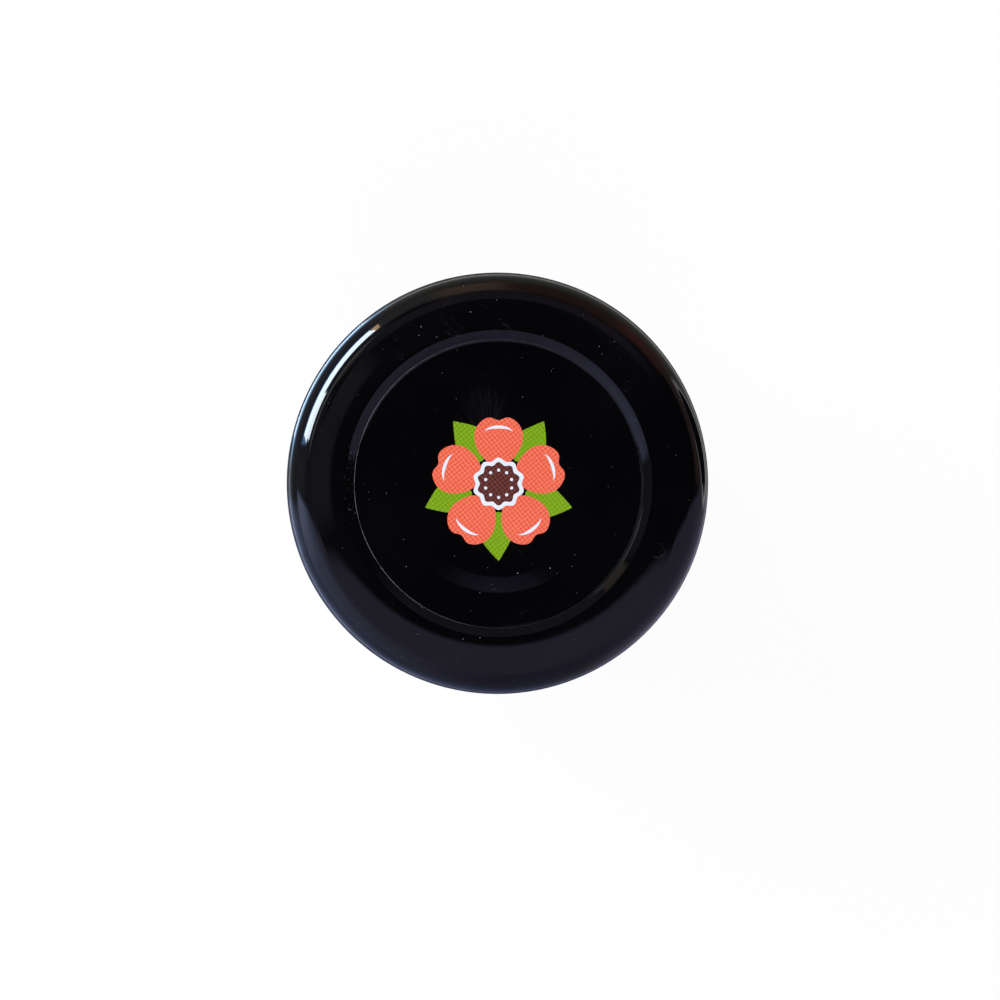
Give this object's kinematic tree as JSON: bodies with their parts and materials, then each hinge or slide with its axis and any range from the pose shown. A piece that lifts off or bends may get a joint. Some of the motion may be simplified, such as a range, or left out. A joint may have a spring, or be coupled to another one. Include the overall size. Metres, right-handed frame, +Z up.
{
  "type": "jar of apricot jam",
  "caption": "Small round glass jar of apricot jam, shut with a glossy black pressed-metal twist-off lid whose recessed panel carries a printed flower.",
  "frame": {"origin": "centre of the base, on the surface the jar stands on", "axes": "+Z up along the jar's axis; the printed flower's top petal points along +Y"},
  "size_m": [0.046, 0.046, 0.0574],
  "materials": {
    "glass": "clear, smooth",
    "jam": "wet, translucent",
    "seal": "matte",
    "lid_enamel": "glossy"
  },
  "bodies": {
    "root": {"glass_jar": "glass", "jam": "jam", "seal_ring": "seal", "lid": "lid_enamel"}
  },
  "joints": []
}
